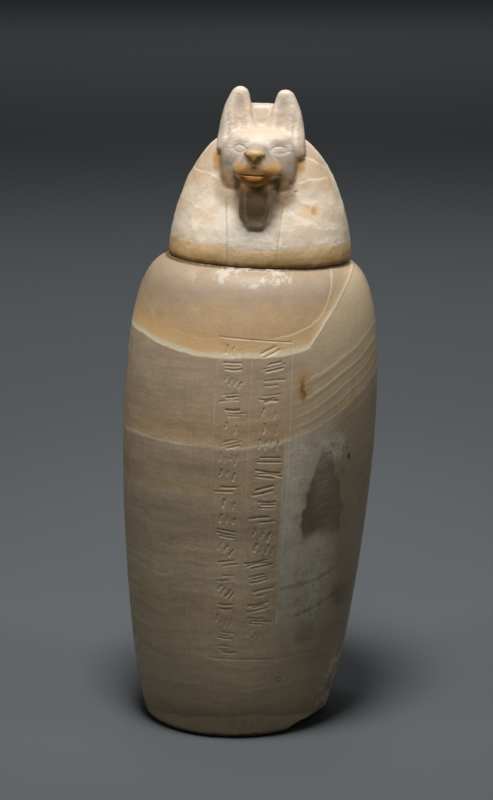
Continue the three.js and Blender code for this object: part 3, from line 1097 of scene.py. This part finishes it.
def wear_jar(stone, bowl):
    """Brown along the seam, turning marks, paler stone along the cuts and darker in their bottoms, and scuffs
    under the rim.
    """
    x, z, cloud, blots, grain = stone.x, stone.z, stone.cloud, stone.blots, stone.grain
    below_lid = z + x * 0.035
    stone.paint(step(below_lid + blots * 2, 295.9, 296.5) * 0.9, (0.12, 0.065, 0.02))
    round_wall = stone.maths("ARCTAN2", x, 0 - stone.y) * 70
    scratches = stone.noise(stone.spread(round_wall / 0.8, 0, z / 34), 1, detail=4, roughness=0.75)
    stone.shade(1 + scratches * (0.45 - bowl * 0.33))
    stone.paint(step(scratches, 0.15, 0.3) * step(cloud, -0.15, 0.15) * 0.4, (0.8, 0.66, 0.49))
    cut = stone.attribute("carved")
    # paler stone along the sides of the cuts, darker in their bottoms
    stone.paint(step(cut, 0.05, 0.6) * step(blots, -0.3, 0.1) * 0.45, (0.76, 0.62, 0.44))
    stone.paint(step(cut, 0.6, 1) * step(blots + grain, 0.1, -0.3) * 0.3, (0.36, 0.26, 0.16))
    scuffs = step(below_lid + blots * 7, 287.6, 289.6) * step(x + cloud * 10, 38, 32) * step(x, -34, -12)
    scuffs *= stone.front * step(blots + grain * 0.3, 0.03, 0.09)
    stone.paint(scuffs * 0.6, (0.58, 0.51, 0.42))
    return scratches


def paint_break(stone):
    """The flaked stone round the broken foot, and the break itself."""
    blots, grain, broken = stone.blots, stone.grain, stone.attribute("broken")
    flaked = stone.patch((61, 28), (8, 25), 0.2, blots=(8, 12), tilt=-0.25)
    stone.paint(flaked * step(blots + grain * 0.5, 0, 0.1) * 0.8, (0.72, 0.62, 0.47))
    stone.paint(flaked * step(blots - grain * 0.5, -0.08, -0.2) * 0.75, (0.13, 0.1, 0.065))
    stone.paint(broken * 0.8, (0.58, 0.48, 0.34))
    stone.paint(broken * step(blots + stone.cloud, -0.05, 0.2) * 0.7, (0.2, 0.15, 0.09))
    return broken


def jar_stone():
    """Travertine in honey and buff beds that lie level on the left and sweep up on the right."""
    stone = Stone("banded_travertine", cloud_size=22, grain_size=1.7)
    stone.front = step(stone.y, 10, -25)
    broad = stone.noise(stone.place, 75, detail=2)
    bed = lay_beds(stone, broad)
    streaks, stripes = streak_beds(stone, bed)
    inside, bowl = paint_bowl(stone, broad, stripes)
    paint_shoulder(stone, bed, streaks, inside)
    paint_vein(stone, bed)
    paint_flame(stone)
    mark_jar(stone)
    paint_foot(stone)
    scratches = wear_jar(stone, bowl)
    broken = paint_break(stone)
    pores = stone.specks(stone.place, 8, 0.6) * step(stone.cloud, 0.06, 0.2)
    stone.paint(pores * 0.6, (0.2, 0.14, 0.08))
    relief = 0.5 + stone.grain * 0.6 + scratches * (0.5 - bowl * 0.4) + streaks * 0.25
    relief += stone.blots * (0.6 + broken * 3) - pores * 0.5
    return stone.finish(0.5 + stone.grain * 0.3 - stone.cloud * 0.2, relief, depth=0.3 * MM)


# ---------------------------------------------------------------------------------- the lid's travertine


def cloud_wig(stone):
    """Peach and cream clouds over the wig in slanting beds, browner round the head, and paler on the outer
    sides as painted light.
    """
    x, z, front, cloud, blots = stone.x, stone.z, stone.front, stone.cloud, stone.blots
    beds = stone.layers(z + abs(x) * 0.35 + cloud * 16, 34, 8, detail=4, roughness=0.6)
    stone.paint(step(beds + cloud * 0.6, -0.06, 0.2) * 0.75, (0.6, 0.445, 0.295))
    stone.paint(step(beds + blots * 0.6, 0.12, 0.32) * 0.6, (0.56, 0.37, 0.2))
    stone.paint(step(blots - beds * 0.6, 0.02, 0.25) * 0.6, (0.8, 0.695, 0.54))
    stone.paint(step(z + cloud * 14, 30, 50) * front * 0.65, (0.48, 0.345, 0.22))
    stone.paint(step(abs(x), 22, 32) * step(z + cloud * 10, 44, 58) * front * 0.5, (0.36, 0.25, 0.155))
    # painted light: paler stone on the wig's outer sides
    stone.paint(step(abs(x) + cloud * 8, 46, 56) * 0.4, (0.74, 0.6, 0.44))


def paint_hem(stone):
    """The honey bed along the hem, with a thin dark line over it in front."""
    cloud, blots = stone.cloud, stone.blots
    above_hem = stone.z - 12 + step(abs(stone.x + 0.5), 18, 14) * 1.6 + cloud * 3
    stone.paint(step(above_hem, 1, -1) * 0.85, (0.6, 0.385, 0.165))
    stone.paint(step(above_hem, -1, -9) * step(cloud + blots, -0.15, 0.1) * 0.75, (0.48, 0.27, 0.09))
    hem_line = line(above_hem - 0.4, 0.8) * stone.front * step(blots, -0.15, 0.15)
    stone.paint(hem_line * 0.4, (0.34, 0.25, 0.16))


def paint_head(stone):
    """The head, duller than the wig, greyer round the eyes, with painted shade on the left ear's outer side
    and warm brown below the cheeks, partly painted shade under the jaw.
    """
    x, y, z, cloud, blots = stone.x, stone.y, stone.z, stone.cloud, stone.blots
    outline = abs(x / 25.5) ** 4 + abs(above(74 - z) / 31) ** 4
    head = stone.maths("MAXIMUM", step(z, 76, 80), step(outline, 1.15, 0.8) * stone.front)
    stone.paint(head * 0.85, (0.455, 0.375, 0.295))
    stone.paint(head * step(z, 80, 92) * 0.6, (0.56, 0.46, 0.36))
    stone.paint(head * step(z, 76, 84) * step(blots + cloud, 0.02, 0.26) * 0.6, (0.47, 0.33, 0.19))
    stone.shade(1 + head * (blots * 0.35 + cloud * 0.25))
    # painted shade on the outer side of the left ear
    stone.shade(1 - step(x, -17, -25) * step(z, 72, 80) * 0.25)
    tool_marks = stone.noise(stone.spread(x / 9, y / 3, z / 1.5), 1, detail=4, roughness=0.7)
    tool_marks *= head * step(z, 68, 74) * step(z, 88, 80)
    stone.shade(1 + tool_marks * 0.35)
    cheek = head * step(y, -10, -20)
    stone.paint(cheek * step(z + cloud * 5, 75, 66) * 0.6, (0.31, 0.26, 0.205))
    # warm brown below the cheeks, partly painted shade under the jaw
    stone.paint(cheek * step(z + cloud * 8 + blots * 4, 62, 50) * 0.85, (0.47, 0.3, 0.15))
    bridge = oval(x, z, (0.6, 71), (8, 5), 0.2) * step(y, -36, -42)
    stone.paint(bridge * 0.6, (0.23, 0.185, 0.13))
    return cheek, tool_marks


def paint_mouth(stone, cheek):
    """Amber round the mouth and on the pad of the nose, and a lighter amber chin, partly painted light on its
    underside.
    """
    y, z = stone.y, stone.z
    aside = abs(stone.x - 0.6)
    muzzle = cheek * step(aside + stone.blots * 4, 18, 9)
    muzzle *= step(z + stone.cloud * 5 - aside * 0.1, 65.5, 56.5)
    stone.paint(muzzle * 0.9, (0.45, 0.245, 0.06))
    stone.paint(muzzle * line(z - 56, 6) * step(aside, 16, 7) * 0.95, (0.58, 0.23, 0.005))
    # the chin, lighter than the muzzle: amber, partly painted light on its shaded underside
    chin = step(y, -40, -44) * step(z, 55.6, 54.8) * step(z, 46, 48)
    stone.paint(chin * 0.95, (0.6, 0.33, 0.12))
    stone.paint(chin * step(aside, 11, 8) * step(z, 49.5, 51.5), (0.38, 0.14, 0.01))
    pad = step(y, -53.5, -56) * step(z - aside * 1.05, 59.4, 61.2) * step(z, 72, 70.4)
    stone.paint(pad, (0.43, 0.285, 0.13))
    stone.paint(pad * step(z, 68.5, 65.5) * 0.85, (0.66, 0.335, 0.06))
    return chin


def paint_throat(stone, chin):
    """Orange-brown under the ears; painted shade on the chest under the head, deeper under the jowls beside
    the throat; on the throat, brown with painted light under the chin, a painted shadow of the muzzle lower
    down, and paler stone at its foot.
    """
    x, y, z, cloud, blots = stone.x, stone.y, stone.z, stone.cloud, stone.blots
    under_ears = oval(abs(x) + blots * 3, z, (25.4, 60.5), (4.2, 9), 0) * step(y, 2, -6)
    stone.paint(under_ears * 0.95, (0.33, 0.155, 0.03))
    # painted shade on the chest under the head, deeper under the jowls at both sides of the throat
    chest = stone.patch((0.8, 42), (24, 20), 0.15, blots=(6, 0), clouds=(0, 8)) * (1 - chin)
    stone.paint(chest * 0.85, (0.33, 0.215, 0.115))
    stone.paint(stone.patch((17.5, 44), (9, 11), -0.1, blots=(4, 6)) * 0.85, (0.17, 0.1, 0.04))
    stone.paint(stone.patch((-20, 45), (9, 10), -0.1, blots=(4, 6)) * 0.7, (0.26, 0.165, 0.08))
    outline = abs((x + 0.9) / 9.4) ** 3 + abs(above(35 - z) / 10.5) ** 3
    throat = step(outline, 1.05, 0.8) * step(z, 53, 49) * step(y, -33, -37) * (1 - chin)
    # the throat: brown, with painted light under the chin and a painted shadow of the muzzle lower down
    stone.paint(throat * 0.9, (0.25, 0.155, 0.06))
    stone.paint(throat * step(z, 43, 48) * 0.9, (0.8, 0.42, 0.14))
    stone.paint(throat * step(z + cloud * 5, 40, 34) * 0.9, (0.17, 0.095, 0.028))
    stone.paint(throat * step(z + cloud * 5, 28.5, 23.5) * 0.8, (0.42, 0.36, 0.26))


def mark_and_shade_wig(stone):
    """An orange spot in its halo, veins across the shoulders, painted shade over the middle of the lower
    front and hem, and the lappets' edges.
    """
    x, z, front, cloud, blots = stone.x, stone.z, stone.front, stone.cloud, stone.blots
    stone.paint(stone.patch((32, 32.5), (9, 6), blots=(5, 4)) * 0.6, (0.6, 0.39, 0.19))
    stone.paint(stone.patch((35, 33), (2, 3.2), blots=(4, 0), clouds=(0, 3)) * 0.8, (0.46, 0.23, 0.06))
    # side; height; rise
    for side, height, rise in [(1, 50, 0.12), (-1, 50, -0.35), (1, 64, -0.5), (-1, 30, -0.3), (1, 26, -0.2)]:
        off = z - height - (x - 26 * side) * rise + cloud * 10 + blots * 3
        across = step(x * side, 20, 28) * front * step(blots, -0.25, 0.05)
        stone.paint(line(off, 1) * across * 0.55, (0.88, 0.78, 0.62))
        stone.paint(step(off, -9, -1) * step(off, 1, -1) * across * 0.45, (0.58, 0.4, 0.23))
    # painted shade over the middle of the wig's lower front and hem
    stone.shade(1 - oval(x - 2, z, (0, 8), (44, 34), 0) * front * 0.38)
    on_chest = step(z, 40, 34) * front * step(blots + stone.grain * 0.5, -0.2, 0.1)
    for edge in (x + 15.5 + z * z * 0.0022, x - 14.6 - z * z * 0.0016):
        stone.paint(line(edge + blots * 1.5, 0.6) * on_chest * 0.5, (0.24, 0.16, 0.09))


def soil_lid(stone):
    """Dirt in the cuts, dark specks, and brown along the seam. Returns how deep the specks go."""
    z, cloud, blots, grain = stone.z, stone.cloud, stone.blots, stone.grain
    cut = stone.attribute("carved")
    stone.paint(step(cut, 0.35, 1) * step(blots, -0.3, 0) * 0.45, (0.26, 0.18, 0.1))
    specks = stone.specks(stone.place, 4.6, 0.48) * step(cloud, -0.06, 0.12)
    shifted = stone.spread(stone.x + 3, stone.y, z)
    big_specks = stone.specks(shifted, 15, 0.9) * step(blots, -0.02, 0.1)
    stone.paint(specks * 0.75, (0.24, 0.17, 0.11))
    stone.paint(big_specks * 0.75, (0.2, 0.14, 0.09))
    stone.paint(step(z + blots * 4, 3.2, 1.2) * step(grain + cloud, -0.35, 0) * 0.95, (0.1, 0.055, 0.018))
    stone.paint(step(z + blots * 7, 5.5, 1) * 0.55, (0.4, 0.22, 0.07))
    return specks * 0.5 + big_specks * 0.7


def lid_stone(sizes, rim_slope, seat):
    """Pale travertine, near white on the wig, with amber under the nose and a honey bed along the hem."""
    turn = (0, rim_slope, sizes.turn)
    stone = Stone("pale_travertine", cloud_size=24, grain_size=1.6, seat=seat, turn=turn)
    stone.x = stone.x + stone.z * 0.012
    stone.front = step(stone.y, 0, -12)
    stone.colour = (0.71, 0.6, 0.465, 1)
    cloud_wig(stone)
    paint_hem(stone)
    cheek, tool_marks = paint_head(stone)
    chin = paint_mouth(stone, cheek)
    paint_throat(stone, chin)
    mark_and_shade_wig(stone)
    specks = soil_lid(stone)
    stone.shade(1 + stone.cloud * 0.15 + stone.blots * 0.12 + stone.grain * 0.16)
    relief = 0.5 + stone.grain * 0.5 + stone.blots * 1.6 + tool_marks - specks
    return stone.finish(0.5 + stone.grain * 0.25 - stone.cloud * 0.2, relief, depth=0.4 * MM)


# ------------------------------------------------------------------------------------ closing a piece


def settle(piece, node, material):
    """Gives a finished piece its stone and its place in the frame."""
    piece.data.materials.clear()
    piece.data.materials.append(material)
    make_active(piece)
    bpy.ops.object.shade_smooth()
    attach(piece, "root")
    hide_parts(node)


# -------------------------------------------------------------------------------------------- the stage


def name_light(name):
    light = bpy.context.object
    light.name = light.data.name = name
    return light


def hang_spot(name, place, target, watts, cone, softness):
    """A spot with a soft edge, aimed at a target. The cone is in degrees."""
    bpy.ops.object.light_add(type="SPOT", location=place)
    light = name_light(name)
    light.data.energy = watts
    light.data.spot_size = math.radians(cone)
    light.data.spot_blend = 1
    light.data.shadow_soft_size = softness
    aim = Vector(target) - light.location
    light.rotation_euler = aim.to_track_quat("-Z", "Y").to_euler()


def hang_panel(name, place, watts, size):
    """A square soft light, facing straight down."""
    bpy.ops.object.light_add(type="AREA", location=place)
    light = name_light(name)
    light.data.energy = watts
    light.data.size = size


def lay_floor(tone):
    bpy.ops.mesh.primitive_plane_add(size=30, location=(0, 8, 0))
    floor = name_new("floor")
    paper = bpy.data.materials.new("floor_paper")
    paper.use_nodes = True
    shader = paper.node_tree.nodes["Principled BSDF"]
    shader.inputs["Base Color"].default_value = (*tone, 1)
    shader.inputs["Roughness"].default_value = 0.8
    floor.data.materials.append(paper)


def place_camera(scene):
    """A long lens in front of the jar and a little above it, looking down."""
    looking_down = math.radians(12.05)
    place = (0.0072, -1.403, 0.5039)
    bpy.ops.object.camera_add(location=place, rotation=(math.radians(90) - looking_down, 0, 0))
    camera = bpy.context.object
    camera.data.lens = 102
    camera.data.sensor_width = 36
    camera.data.clip_start = 0.05
    scene.camera = camera


def hang_lights(powers):
    """A spot overhead, one at each side, and two wide lights for the floor behind."""
    head, chest, behind = (0.017, -0.02, 0.37), (0.017, -0.04, 0.33), (0, 1.5, 0)
    hang_spot("key", (-0.02, -0.285, 1.19), chest, powers.key_power, cone=70, softness=0.14)
    hang_spot("left_side", (-0.62, -0.30, 0.92), head, powers.side_power, cone=24, softness=0.16)
    hang_spot("right_side", (0.62, -0.24, 0.92), head, powers.side_power, cone=24, softness=0.16)
    hang_spot("backdrop_light", (0, 0.6, 2.5), behind, powers.backdrop_power, cone=74, softness=0.3)
    hang_panel("far_light", (0, 8, 4), powers.far_power, size=4)


def fill_room(scene, tone):
    """The faint even light of the room, and plain colours."""
    world = bpy.data.worlds.new("studio")
    world.use_nodes = True
    world.node_tree.nodes["Background"].inputs["Color"].default_value = (*tone, 1)
    scene.world = world
    scene.view_settings.view_transform = "Standard"


class CANOPIC_OT_stage(bpy.types.Operator):
    """Lay the floor, place the camera and hang the lights"""

    bl_idname = "canopic.stage"
    bl_label = "Stage"

    def execute(self, context):
        choices = context.scene.canopic_stage
        lay_floor(choices.floor_colour)
        place_camera(context.scene)
        hang_lights(choices)
        fill_room(context.scene, choices.room_colour)
        return {"FINISHED"}


class CANOPIC_PT_panel(bpy.types.Panel):
    """The pieces of the canopic jar"""

    bl_label = "Canopic Jar"
    bl_idname = "CANOPIC_PT_panel"
    bl_space_type = "VIEW_3D"
    bl_region_type = "UI"
    bl_category = "Canopic Jar"

    def draw(self, context):
        for operator in OPERATORS:
            self.layout.operator(operator.bl_idname)


SETTINGS = {"canopic_jar": JarSettings, "canopic_lid": LidSettings, "canopic_stage": StageSettings}
OPERATORS = (CANOPIC_OT_jar, CANOPIC_OT_lid, CANOPIC_OT_stage)


def register():
    for group in (*SETTINGS.values(), *OPERATORS, CANOPIC_PT_panel):
        bpy.utils.register_class(group)
    for name, group in SETTINGS.items():
        setattr(bpy.types.Scene, name, PointerProperty(type=group))


def unregister():
    for name in SETTINGS:
        delattr(bpy.types.Scene, name)
    for group in (CANOPIC_PT_panel, *OPERATORS, *SETTINGS.values()):
        bpy.utils.unregister_class(group)


def main():
    register()
    deselect_all()
    bpy.ops.canopic.jar()
    bpy.ops.canopic.lid()
    bpy.ops.canopic.stage()


if __name__ == "__main__":
    main()
